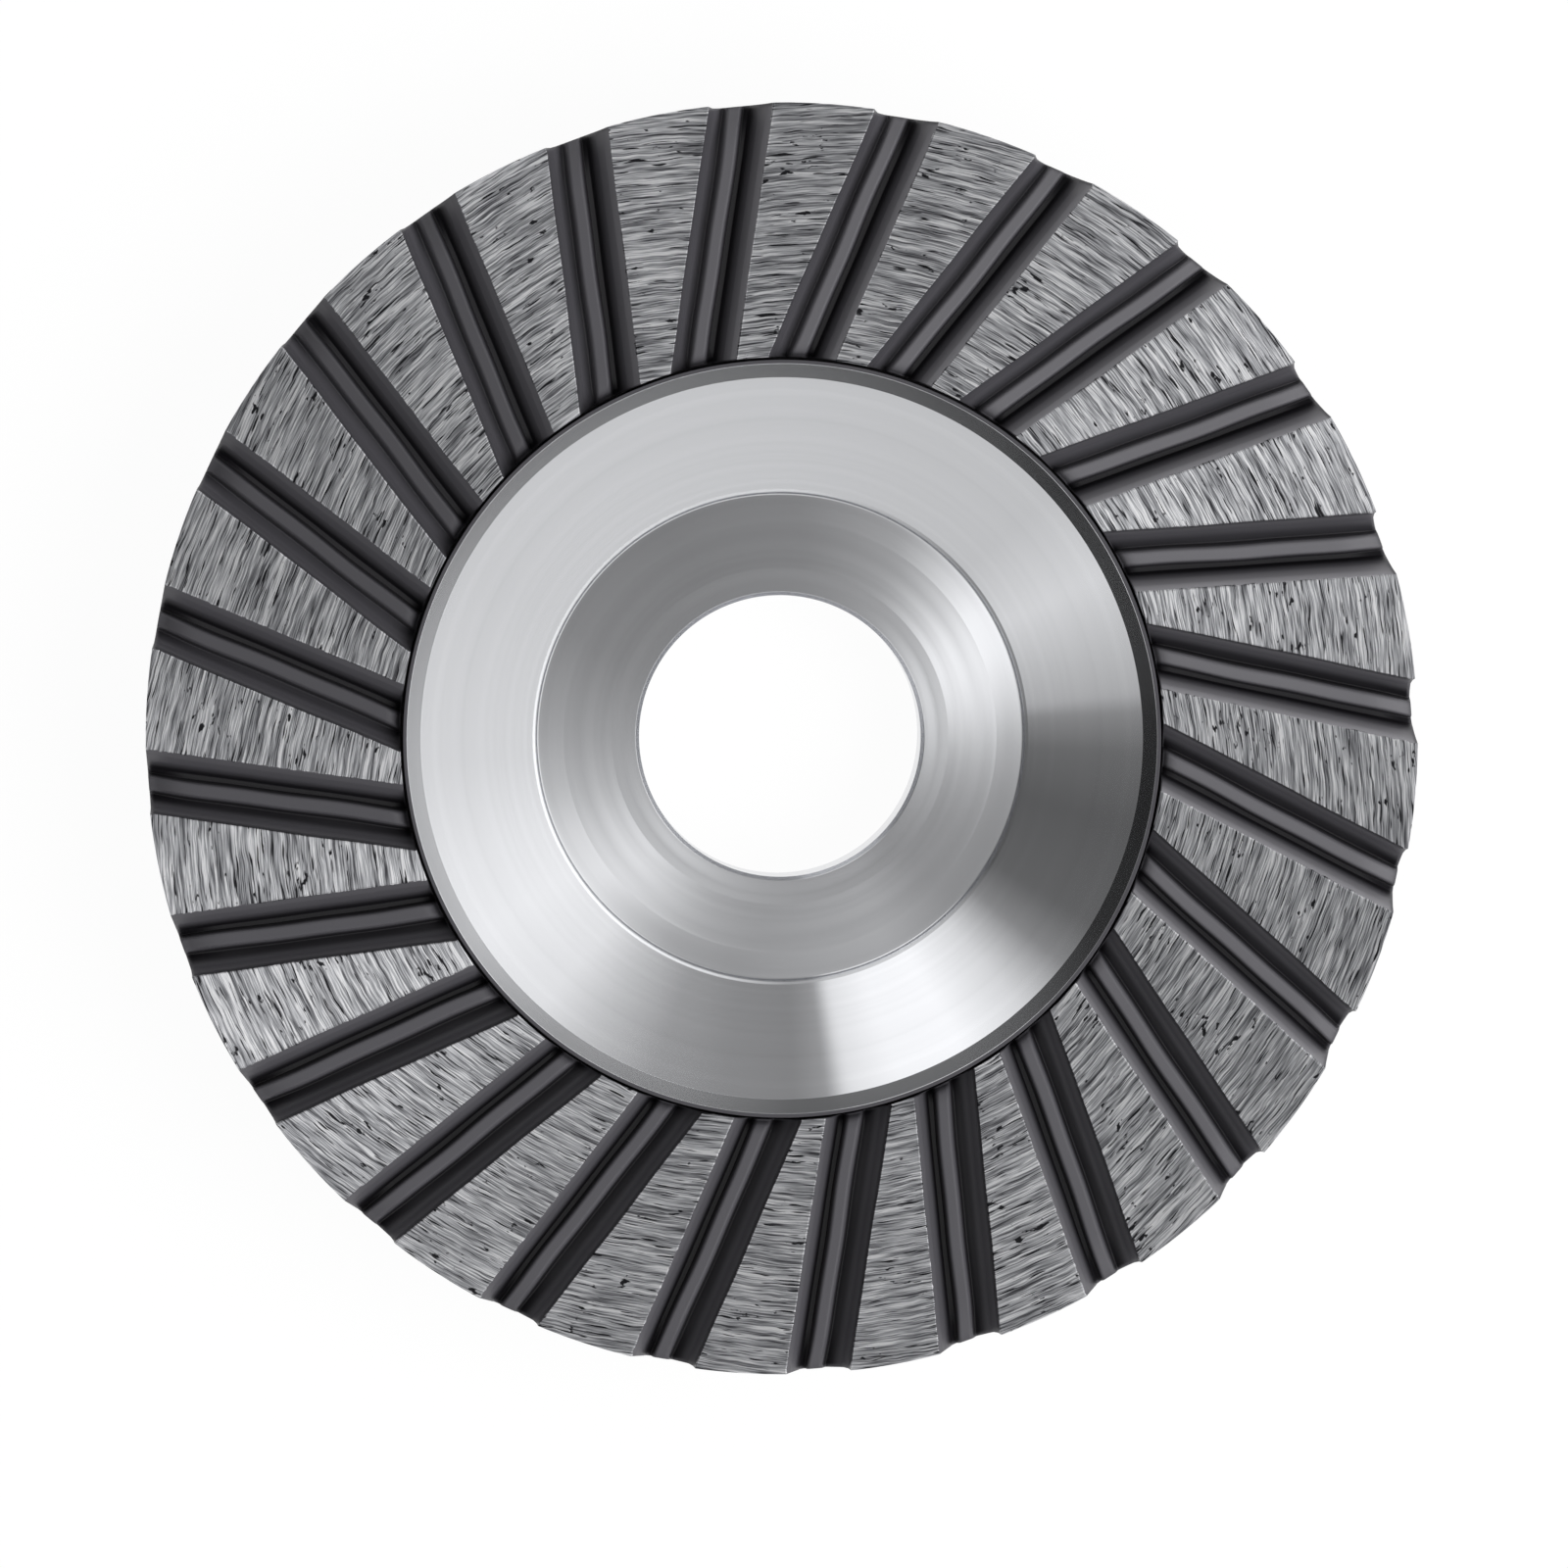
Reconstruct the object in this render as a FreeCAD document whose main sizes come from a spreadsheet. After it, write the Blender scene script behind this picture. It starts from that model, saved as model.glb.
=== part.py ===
import FreeCAD, Part
import math
import os

import Sketcher

# Diamond cup wheel for an angle grinder, 100 mm across.
# A turned steel cup carries a sintered abrasive rim. Straight swept grooves cut the rim
# into lands, and each groove has a rib standing along its middle.
# Millimetres. The wheel lies on its hub face with the abrasive face up: +Z is the wheel's
# axis and points out of the cup, and the origin is the centre of the bore in the hub face.

document = FreeCAD.newDocument("cup_wheel")

# Driving dimensions: alias, value, what it is.
SIZES = [
    ("wheel_diameter", 100.0, "outer diameter at the land tops"),
    ("overall_height", 16.0, "hub face to land tops"),
    ("bore_diameter", 22.23, "arbor bore"),
    ("bore_chamfer", 0.3, "edge break at both ends of the bore"),
    ("rim_width", 20.0, "radial width of the abrasive at the land tops"),
    ("rim_thickness", 5.0, "land tops down to the seat on the steel"),
    ("rim_draft", 8.0, "taper of the rim's outer wall, in degrees"),
    ("rim_overhang", 0.3, "how far the foot of the rim stands out past the steel plate"),
    ("plate_thickness", 4.0, "steel under the abrasive"),
    ("plate_chamfer", 0.8, "chamfer of the plate's lower outer corner"),
    ("collar_crest_width", 0.3, "flat crest of the collar inside the rim"),
    ("collar_drop", 0.25, "land tops down to the collar's crest"),
    ("collar_slope_width", 1.1, "radial width of the collar's inner slope"),
    ("collar_slope_depth", 0.9, "depth of the collar's inner slope"),
    ("funnel_depth", 4.3, "drop of the turned cone from the collar to the dish"),
    ("dish_diameter", 38.8, "recess that takes the lock nut, at its lip"),
    ("dish_lip_chamfer", 0.15, "edge break of the dish's lip"),
    ("dish_wall_height", 1.1, "height of the dish's steep wall"),
    ("dish_wall_lean", 0.15, "how far the foot of the dish's wall stands in from its lip"),
    ("dish_band_width", 2.15, "radial width of the outer band of the dish's floor"),
    ("dish_band_drop", 0.32, "fall of the outer band towards the bore"),
    ("dish_floor_drop", 0.33, "fall of the middle band, down to the nut seat"),
    ("nut_seat_diameter", 26.6, "flat seat around the bore for the lock nut"),
    ("hub_diameter", 42.0, "hub boss with the clamping face, at the back"),
    ("hub_height", 2.0, "height of the hub boss"),
    ("hub_chamfer", 0.5, "edge break of the hub boss"),
    ("hub_root", 0.8, "sloped foot of the hub boss, across and up"),
    ("back_cone_diameter", 62.0, "where the back's cone meets the flat plate"),
    ("groove_count", 24.0, "grooves round the rim"),
    ("groove_sweep_radius", 10.5, "circle that every groove's centre line touches"),
    ("groove_width", 5.0, "width of a groove at the land tops"),
    ("groove_depth", 2.4, "land tops down to the bottom of the wide channel"),
    ("channel_round", 0.15, "height of the wide channel's rounded bottom"),
    ("steep_wall_lean", 0.3, "how far the foot of a groove's steep wall stands in"),
    ("slot_width", 0.15, "bottom of the slot between the rib and the ramp"),
    ("ramp_crown", 0.36, "how far the rounded ramp stands proud of its chord"),
    ("rib_foot_width", 1.6, "width of the rib where it leaves the channels"),
    ("rib_top_width", 1.3, "width of the rib across its crest"),
    ("rib_drop", 1.0, "land tops down to the shoulders of the rib's crest"),
    ("rib_crown", 0.12, "height of the rib's rounded crest"),
    ("first_groove_angle", 6.5, "turn of the groove pattern about the axis, in degrees"),
    ("cutter_margin", 1.0, "how far the groove cutter stands clear of the rim"),
]

sheet = document.addObject("Spreadsheet::Sheet", "sizes")
for row, (alias, value, meaning) in enumerate(SIZES, start=1):
    sheet.set("A%d" % row, meaning)
    sheet.set("B%d" % row, str(value))
    sheet.setAlias("B%d" % row, alias)
document.recompute()

# Places worked out from the driving dimensions, as formulas that the sketches are bound to.
# A name in <angle brackets> is an alias of the sheet or one of these places.
PLACES = {
    "wheel_radius": "<wheel_diameter> / 2",
    "bore_radius": "<bore_diameter> / 2",
    "rim_inner_radius": "<wheel_radius> - <rim_width>",
    "rim_foot_radius": "<wheel_radius> - <rim_thickness> * tan(<rim_draft> * 1deg)",
    "plate_radius": "<rim_foot_radius> - <rim_overhang>",
    "seat_level": "<overall_height> - <rim_thickness>",
    "plate_back_level": "<seat_level> - <plate_thickness>",
    "collar_level": "<overall_height> - <collar_drop>",
    "crest_inner_radius": "<rim_inner_radius> - <collar_crest_width>",
    "slope_foot_radius": "<crest_inner_radius> - <collar_slope_width>",
    "slope_foot_level": "<collar_level> - <collar_slope_depth>",
    "dish_radius": "<dish_diameter> / 2",
    "dish_level": "<slope_foot_level> - <funnel_depth>",
    "dish_foot_radius": "<dish_radius> - <dish_wall_lean>",
    "dish_foot_level": "<dish_level> - <dish_wall_height>",
    "band_inner_radius": "<dish_foot_radius> - <dish_band_width>",
    "band_inner_level": "<dish_foot_level> - <dish_band_drop>",
    "nut_seat_radius": "<nut_seat_diameter> / 2",
    "nut_seat_level": "<band_inner_level> - <dish_floor_drop>",
    "hub_radius": "<hub_diameter> / 2",
    "back_cone_radius": "<back_cone_diameter> / 2",
    "groove_edge": "<groove_width> / 2",
    "rib_foot": "<rib_foot_width> / 2",
    "rib_shoulder": "<rib_top_width> / 2",
    "channel_top_level": "<overall_height> - <groove_depth> + <channel_round>",
    "rib_shoulder_level": "<overall_height> - <rib_drop>",
    "cutter_top_level": "<overall_height> + <cutter_margin>",
}

FULL_TURN = 360.0


def formula(words):
    """Put the places and then the sheet's aliases in for the names in angle brackets."""
    while "<" in words:
        name = words[words.index("<") + 1:words.index(">")]
        meaning = "(%s)" % PLACES[name] if name in PLACES else "sizes.%s" % name
        words = words.replace("<%s>" % name, meaning)
    return words


def number(words):
    """What a formula gives with the current sizes."""
    result = sheet.evalExpression(formula(words))
    return float(getattr(result, "Value", result))


def new_body(name):
    """A sub-part: a body of its own, labelled with the name of its file."""
    body = document.addObject("PartDesign::Body", name)
    body.Label = name
    return body


def origin_feature(body, role):
    """One of the body's own origin planes or axes."""
    return next(feature for feature in body.Origin.OriginFeatures if feature.Role == role)


def section_sketch(body, name, turn=None):
    """A sketch on the body's upright plane: across is X and up is Z, turned about Z."""
    sketch = body.newObject("Sketcher::SketchObject", name)
    sketch.AttachmentSupport = [(origin_feature(body, "XZ_Plane"), "")]
    sketch.MapMode = "FlatFace"
    if turn:
        upright = FreeCAD.Rotation(FreeCAD.Vector(0, 1, 0), number(turn))
        sketch.AttachmentOffset = FreeCAD.Placement(FreeCAD.Vector(), upright)
        sketch.setExpression("AttachmentOffset.Rotation.Angle", formula(turn))
    return sketch


def arc_radius(start, end, bulge):
    """Formula for the radius of the arc that stands proud of its chord by the bulge."""
    chord = "((%s) - (%s))^2 + ((%s) - (%s))^2" % (end[0], start[0], end[1], start[1])
    return "((%s) / 4 + (%s)^2) / (2 * (%s))" % (chord, bulge, bulge)


def arc_through(start, end, radius, side):
    """The short arc between two points, with its centre on their left (1) or right (-1)."""
    along = end - start
    half = along.Length / 2
    across = FreeCAD.Vector(-along.y, along.x, 0).normalize() * side
    centre = (start + end) / 2 + across * math.sqrt(max(radius * radius - half * half, 0.0))
    begin, finish = (start, end) if side > 0 else (end, start)
    first = math.atan2(begin.y - centre.y, begin.x - centre.x)
    last = math.atan2(finish.y - centre.y, finish.x - centre.x)
    circle = Part.Circle(centre, FreeCAD.Vector(0, 0, 1), radius)
    return Part.ArcOfCircle(circle, first, last)


def draw_loop(sketch, corners):
    """Draw a closed outline and bind every corner and radius to the sheet.

    A corner is (across, up), or (across, up, bulge, side) where an arc runs to the next.
    """
    points = [FreeCAD.Vector(number(corner[0]), number(corner[1]), 0) for corner in corners]
    ends = []
    for index, corner in enumerate(corners):
        following = (index + 1) % len(corners)
        if len(corner) == 2:
            piece = Part.LineSegment(points[index], points[following])
            edge = sketch.addGeometry(piece, False)
            ends.append((edge, 1, 2))
            continue
        bulge, side = corner[2:]
        radius = arc_radius(corner[:2], corners[following][:2], bulge)
        arc = arc_through(points[index], points[following], number(radius), side)
        edge = sketch.addGeometry(arc, False)
        ends.append((edge, 1, 2) if side > 0 else (edge, 2, 1))
        rule = sketch.addConstraint(Sketcher.Constraint("Radius", edge, number(radius)))
        sketch.setExpression("Constraints[%d]" % rule, formula(radius))
    for index, corner in enumerate(corners):
        edge, begin, _ = ends[index]
        before, _, finish = ends[index - 1]
        sketch.addConstraint(Sketcher.Constraint("Coincident", before, finish, edge, begin))
        if corner[1] == "0":
            sketch.addConstraint(Sketcher.Constraint("PointOnObject", edge, begin, -1))
            directions = (("DistanceX", corner[0], points[index].x),)
        else:
            directions = (("DistanceX", corner[0], points[index].x),
                          ("DistanceY", corner[1], points[index].y))
        for direction, words, distance in directions:
            measure = Sketcher.Constraint(direction, -1, 1, edge, begin, distance)
            rule = sketch.addConstraint(measure)
            sketch.setExpression("Constraints[%d]" % rule, formula(words))


def turned(body, sketch, name):
    """Revolve a section round the wheel's axis."""
    feature = body.newObject("PartDesign::Revolution", name)
    feature.Profile = sketch
    feature.ReferenceAxis = (sketch, ["V_Axis"])
    feature.Angle = FULL_TURN
    return feature


def make_cup_body():
    """The steel cup: hub boss, cone and plate at the back, collar, funnel and dish in front."""
    body = new_body("cup_body")
    sketch = section_sketch(body, "cup_section")
    draw_loop(sketch, [
        ("<bore_radius> + <bore_chamfer>", "0"),
        ("<hub_radius> - <hub_chamfer>", "0"),
        ("<hub_radius>", "<hub_chamfer>"),
        ("<hub_radius>", "<hub_height> - <hub_root>"),
        ("<hub_radius> + <hub_root>", "<hub_height>"),
        ("<back_cone_radius>", "<plate_back_level>"),
        ("<plate_radius> - <plate_chamfer>", "<plate_back_level>"),
        ("<plate_radius>", "<plate_back_level> + <plate_chamfer>"),
        ("<plate_radius>", "<seat_level>"),
        ("<rim_inner_radius>", "<seat_level>"),
        ("<rim_inner_radius>", "<collar_level>"),
        ("<crest_inner_radius>", "<collar_level>"),
        ("<slope_foot_radius>", "<slope_foot_level>"),
        ("<dish_radius> + <dish_lip_chamfer>", "<dish_level>"),
        ("<dish_radius>", "<dish_level> - <dish_lip_chamfer>"),
        ("<dish_foot_radius>", "<dish_foot_level>"),
        ("<band_inner_radius>", "<band_inner_level>"),
        ("<nut_seat_radius>", "<nut_seat_level>"),
        ("<bore_radius> + <bore_chamfer>", "<nut_seat_level>"),
        ("<bore_radius>", "<nut_seat_level> - <bore_chamfer>"),
        ("<bore_radius>", "<bore_chamfer>"),
    ])
    turned(body, sketch, "cup_turning")
    return body


def groove_outline():
    """Corners of one groove's section, as seen looking out along it from the wheel's middle.

    A steep wall, a wide round-bottomed channel, the rib, a narrow slot and a rounded ramp
    that climbs back to the next land.
    """
    def at(offset, level, *arc):
        return ("%s - <groove_sweep_radius>" % offset, level) + arc

    return [
        at("-<groove_edge>", "<cutter_top_level>"),
        at("-<groove_edge>", "<overall_height>"),
        at("-<groove_edge> + <steep_wall_lean>", "<channel_top_level>", "<channel_round>", 1),
        at("-<rib_foot>", "<channel_top_level>"),
        at("-<rib_shoulder>", "<rib_shoulder_level>", "<rib_crown>", -1),
        at("<rib_shoulder>", "<rib_shoulder_level>"),
        at("<rib_foot>", "<channel_top_level>"),
        at("<rib_foot> + <slot_width>", "<channel_top_level>", "<ramp_crown>", -1),
        at("<groove_edge>", "<overall_height>"),
        at("<groove_edge>", "<cutter_top_level>"),
    ]


def make_abrasive_rim():
    """The sintered rim: a ring with a drafted outer wall, cut by ribbed swept grooves."""
    body = new_body("abrasive_rim")
    ring_sketch = section_sketch(body, "ring_section")
    draw_loop(ring_sketch, [
        ("<rim_inner_radius>", "<seat_level>"),
        ("<rim_foot_radius>", "<seat_level>"),
        ("<wheel_radius>", "<overall_height>"),
        ("<rim_inner_radius>", "<overall_height>"),
    ])
    turned(body, ring_sketch, "ring_blank")
    document.recompute()
    blank_volume = body.Shape.Volume

    groove_sketch = section_sketch(body, "groove_section", turn="<first_groove_angle>")
    draw_loop(groove_sketch, groove_outline())
    groove = body.newObject("PartDesign::Pocket", "first_groove")
    groove.Profile = groove_sketch
    groove.Length = number("<wheel_radius> + <cutter_margin>")
    groove.setExpression("Length", formula("<wheel_radius> + <cutter_margin>"))
    document.recompute()
    one_cut = blank_volume - body.Shape.Volume

    grooves = body.newObject("PartDesign::PolarPattern", "grooves")
    grooves.Originals = [groove]
    grooves.Axis = (origin_feature(body, "Z_Axis"), [""])
    grooves.Angle = FULL_TURN
    grooves.setExpression("Occurrences", formula("<groove_count>"))
    body.Tip = grooves
    document.recompute()
    all_cuts = blank_volume - body.Shape.Volume
    print("one groove takes %.2f mm3, all take %.2f mm3" % (one_cut, all_cuts))
    if one_cut <= 0 or abs(all_cuts - one_cut * int(grooves.Occurrences)) > one_cut:
        raise RuntimeError("the grooves don't cut the rim as they should")
    return body


def check_document():
    """Stop if any object failed, because a recompute doesn't raise by itself."""
    for item in document.Objects:
        failed = [word for word in item.State if word in ("Invalid", "Error")]
        if failed:
            raise RuntimeError("%s is %s" % (item.Name, ", ".join(failed)))


def export(body):
    """Check a finished sub-part and write its file."""
    shape = body.Shape
    if shape.isNull() or not shape.isValid() or not shape.Solids:
        raise RuntimeError("%s has no sound solid" % body.Label)
    shape.exportStep("parts/%s.step" % body.Label)
    box = shape.BoundBox
    print("%s: %d solid, %.1f mm3, %.2f x %.2f x %.2f mm"
          % (body.Label, len(shape.Solids), shape.Volume, box.XLength, box.YLength, box.ZLength))


sub_parts = [make_cup_body(), make_abrasive_rim()]
document.recompute()
check_document()
os.makedirs("parts", exist_ok=True)
for sub_part in sub_parts:
    export(sub_part)
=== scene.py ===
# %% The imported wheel
import math

import bpy
import numpy as np
from mathutils import Matrix, Vector


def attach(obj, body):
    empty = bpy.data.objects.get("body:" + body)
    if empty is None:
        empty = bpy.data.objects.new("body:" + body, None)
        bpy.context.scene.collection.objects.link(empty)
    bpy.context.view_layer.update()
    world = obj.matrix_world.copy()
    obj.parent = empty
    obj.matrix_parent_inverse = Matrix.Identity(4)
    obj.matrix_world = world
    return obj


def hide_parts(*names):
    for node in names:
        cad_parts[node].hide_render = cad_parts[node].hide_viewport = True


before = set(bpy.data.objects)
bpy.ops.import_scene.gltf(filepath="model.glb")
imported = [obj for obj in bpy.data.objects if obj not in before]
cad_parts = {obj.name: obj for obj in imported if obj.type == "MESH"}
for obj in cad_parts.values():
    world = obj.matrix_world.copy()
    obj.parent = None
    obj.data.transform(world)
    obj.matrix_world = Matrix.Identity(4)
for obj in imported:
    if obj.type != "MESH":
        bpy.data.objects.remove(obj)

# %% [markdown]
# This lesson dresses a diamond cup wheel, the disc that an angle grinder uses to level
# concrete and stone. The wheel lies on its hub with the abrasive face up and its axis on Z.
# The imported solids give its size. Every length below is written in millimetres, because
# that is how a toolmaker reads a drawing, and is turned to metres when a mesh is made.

MM = 0.001
rng = np.random.default_rng(24)
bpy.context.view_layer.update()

# %% [markdown]
# The scene measures like a render for print: the Standard view transform shows a colour as
# it is written, so that a hex value taken for the steel or the enamel stays what it says.

# %% View settings
scene = bpy.context.scene
scene.view_settings.view_transform = "Standard"

# %% [markdown]
# Materials are built from nodes. Six helpers keep that short: one turns a hex code into a
# linear colour, one finds a socket, one adds a node with its inputs, one sets the stops of a
# ramp, and two give the output of a sum or of a mix.

# %% Node helpers
def linear(code, alpha=1.0):
    """Linear colour from an sRGB hex code such as 2b2a2e."""
    parts = [int(code[i:i + 2], 16) / 255 for i in (0, 2, 4)]
    return [p / 12.92 if p <= 0.04045 else ((p + 0.055) / 1.055) ** 2.4 for p in parts] + [alpha]


def pick(sockets, key):
    """The socket with that number, or the one of that name that the node has switched on."""
    if isinstance(key, int):
        return sockets[key]
    return next(socket for socket in sockets if socket.name == key and socket.enabled)


def add_node(tree, kind, inputs=None, **settings):
    """Add a node, set its own settings, then give its inputs values or link sockets to them."""
    node = tree.nodes.new(kind)
    for name, value in settings.items():
        setattr(node, name, value)
    for key, value in (inputs or {}).items():
        socket = pick(node.inputs, key)
        if isinstance(value, bpy.types.NodeSocket):
            tree.links.new(value, socket)
        else:
            socket.default_value = value
    return node


def set_stops(ramp_node, stops, interpolation="LINEAR"):
    """Set a colour ramp to (place, grey) stops, or (place, colour) stops."""
    ramp = ramp_node.color_ramp
    ramp.interpolation = interpolation
    while len(ramp.elements) < len(stops):
        ramp.elements.new(0.5)
    for element, (place, value) in zip(ramp.elements, stops):
        element.position = place
        element.color = value if isinstance(value, list) else (value, value, value, 1.0)
    return ramp_node


def compute(tree, operation, *values):
    """Output of a Math node that does the operation on one to three values."""
    return add_node(tree, "ShaderNodeMath", dict(enumerate(values)),
                    operation=operation).outputs["Value"]


def blend(tree, factor, first, second, kind="RGBA"):
    """Output of a Mix node: the first input where the factor is 0, the second where it is 1."""
    node = add_node(tree, "ShaderNodeMix", {"Factor": factor, "A": first, "B": second},
                    data_type=kind)
    return pick(node.outputs, "Result")


# %% [markdown]
# A turned part is a profile spun round its axis. The real cup is turned on a lathe, so its
# corners are never knife edges: the tool leaves a tiny radius, and that radius catches the
# light as a fine line. A helper rounds every corner of a polyline with a small arc.

# %% Rounded profiles
def rounded(corners, steps=4):
    """Polyline through the corners, each (across, up, radius), with the corner cut by an arc.

    The arc starts where a circle of that radius touches both sides: radius / tan(half the
    corner's angle) away from the corner. Support points stand close to both ends of the arc,
    so that smooth shading stays flat on the long faces.
    """
    count = len(corners)
    points = []
    for index, (x, z, radius) in enumerate(corners):
        here = np.array([x, z])
        before = np.array(corners[index - 1][:2]) - here
        after = np.array(corners[(index + 1) % count][:2]) - here
        reach_before = np.linalg.norm(before)
        reach_after = np.linalg.norm(after)
        before = before / reach_before
        after = after / reach_after
        half = math.acos(np.clip(before @ after, -1, 1)) / 2
        if radius <= 0 or half > 1.55:
            points.append(here)
            continue
        away = min(radius / math.tan(half), 0.4 * reach_before, 0.4 * reach_after)
        radius = away * math.tan(half)
        middle = (before + after) / np.linalg.norm(before + after)
        centre = here + middle * radius / math.sin(half)
        first = here + before * away - centre
        last = here + after * away - centre
        share = np.linspace(0, 1, steps + 1)[:, None]
        turn = math.pi - 2 * half
        arc = (np.sin((1 - share) * turn) * first + np.sin(share * turn) * last) / math.sin(turn)
        support = min(0.6 * away, 0.1 * min(reach_before, reach_after))
        points.append(here + before * (away + support))
        points.extend(centre + arc)
        points.append(here + after * (away + support))
    return np.array(points)


def grid_mesh(name, points, smooth=True):
    """Mesh of a grid of points, rows x columns x 3 in millimetres, closed both ways round."""
    rows, columns = points.shape[:2]
    mesh = bpy.data.meshes.new(name)
    i, j = np.meshgrid(np.arange(rows), np.arange(columns), indexing="ij")
    down = (i + 1) % rows
    right = (j + 1) % columns
    quads = np.stack([i * columns + j, i * columns + right,
                      down * columns + right, down * columns + j], axis=-1).reshape(-1, 4)
    mesh.vertices.add(rows * columns)
    mesh.vertices.foreach_set("co", (points * MM).astype(np.float32).ravel())
    mesh.loops.add(quads.size)
    mesh.loops.foreach_set("vertex_index", quads.astype(np.int32).ravel())
    mesh.polygons.add(len(quads))
    mesh.polygons.foreach_set("loop_start", np.arange(0, quads.size, 4, dtype=np.int32))
    mesh.polygons.foreach_set("use_smooth", np.full(len(quads), smooth))
    mesh.update(calc_edges=True)
    mesh.validate()
    piece = bpy.data.objects.new(name, mesh)
    scene.collection.objects.link(piece)
    return piece, quads


# %% [markdown]
# The steel cup is one piece, turned all over: the bored hub with its clamping face, the cone
# and the plate at the back, which the photo doesn't show, and in front the collar, the funnel
# and the dish that takes the grinder's lock nut. It could be made with a Screw modifier, but
# working out the grid with numpy keeps the place of every ring known, and the lathe's slight
# waves can be added to the profile itself.

# %% Steel cup: the profile
# COLLAR is the collar's outer radius, and SEAT the level on which the abrasive rim rests.
HEIGHT = 16.0
BORE = 11.115
COLLAR = 29.8
SEAT = 11.0
CUP_CORNERS = [
    (BORE + 0.3, 0.0, 0.05),
    (20.5, 0.0, 0.1),
    (21.0, 0.5, 0.1),
    (21.0, 1.2, 0.1),
    (21.8, 2.0, 0.3),
    (31.0, 7.0, 0.8),
    (48.197, 7.0, 0.1),
    (48.997, 7.8, 0.1),
    (48.997, SEAT, 0.05),
    (COLLAR, SEAT, 0.05),
    (COLLAR, 15.75, 0.05),
    (COLLAR - 0.3, 15.75, 0.08),
    (28.4, 14.85, 0.12),
    (19.55, 10.55, 0.03),
    (19.34, 10.41, 0.03),
    (19.22, 9.45, 0.2),
    (17.1, 9.13, 0.35),
    (13.3, 8.80, 0.35),
    (BORE + 0.3, 8.73, 0.08),
    (BORE, 8.43, 0.05),
    (BORE, 0.30, 0.05),
]


def filled(profile, fine=0.45, plain=4.0):
    """The closed profile with extra points: close together in front, far apart elsewhere."""
    pieces = []
    for start, end in zip(profile, np.roll(profile, -1, axis=0)):
        in_front = min(start[1], end[1]) > 8.0 and max(start[0], end[0]) < 29
        longest = fine if in_front else plain
        parts = max(1, math.ceil(np.linalg.norm(end - start) / longest))
        pieces.append(start + (end - start) * np.arange(parts)[:, None] / parts)
    return np.concatenate(pieces)


profile = filled(rounded(CUP_CORNERS))
across, up = profile[:, 0], profile[:, 1]

# %% Steel cup: the lathe's slight waves
def band(value, low, high, soft):
    """1 between low and high, falling smoothly to 0 over the soft width at both ends."""
    rise = np.clip((value - low) / soft, 0, 1)
    fall = np.clip((high - value) / soft, 0, 1)
    return rise * rise * (3 - 2 * rise) * fall * fall * (3 - 2 * fall)


front = (up > 8.0) & (across < 29)
dish_wave = 0.005 * np.sin(across * 2 * np.pi / 1.5) + 0.003 * np.sin(across * 2 * np.pi / 0.87 + 1)
up = up + front * band(across, 11.6, 19.0, 0.4) * dish_wave
funnel_wave = 0.002 * np.sin(across * 2 * np.pi / 2.9) + 0.001 * np.sin(across * 2 * np.pi / 1.3)
up = up + front * band(across, 19.9, 28.2, 0.5) * funnel_wave

# %% Steel cup: spun round the axis
SEGMENTS = 360
angle = np.arange(SEGMENTS) * 2 * np.pi / SEGMENTS
cup_points = np.stack([across[:, None] * np.cos(angle), across[:, None] * np.sin(angle),
                       np.repeat(up[:, None], SEGMENTS, axis=1)], axis=-1)
cup, cup_quads = grid_mesh("turned_cup", cup_points[::-1])
print("cup:", len(profile), "points round the profile,", 2 * len(cup.data.polygons), "triangles")


# %% [markdown]
# The lathe leaves fine rings, so the steel scatters light across them and hardly along them.
# A UV map whose U runs across the rings tells the shader which way that is.

# %% Steel cup: UV across and along the rings
def ring_uv(piece, quads, rows, columns, lengths):
    """UV map: U is the way along the profile in units of 100 mm, V the share of a full turn."""
    layer = piece.data.uv_layers.new(name="rings")
    row = quads // columns
    column = quads % columns
    last_row = row.max(axis=1, keepdims=True) == rows - 1
    last_column = column.max(axis=1, keepdims=True) == columns - 1
    row = np.where(last_row & (row == 0), rows, row)
    column = np.where(last_column & (column == 0), columns, column)
    uv = np.stack([lengths[row] / 100, column / columns], axis=-1)
    layer.data.foreach_set("uv", uv.astype(np.float32).ravel())


turned_profile = np.stack([across, up], axis=-1)[::-1]
steps = np.linalg.norm(np.roll(turned_profile, -1, axis=0) - turned_profile, axis=1)
lengths = np.concatenate([[0], np.cumsum(steps)])
ring_uv(cup, cup_quads, len(profile), SEGMENTS, lengths)
print("profile is %.1f mm round" % lengths[-1])

# %% [markdown]
# The abrasive rim is metal powder and diamond grit, pressed and sintered onto the steel. Its
# swept grooves carry the dust away, and the rib along each groove stiffens it. The section
# of a groove is a steep wall, a round-bottomed channel, the rib, a narrow slot and a
# rounded ramp. A boolean cut would give stray slivers, so the grid's columns follow the
# grooves instead: every column keeps its distance from the groove's centre line all the way.

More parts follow.
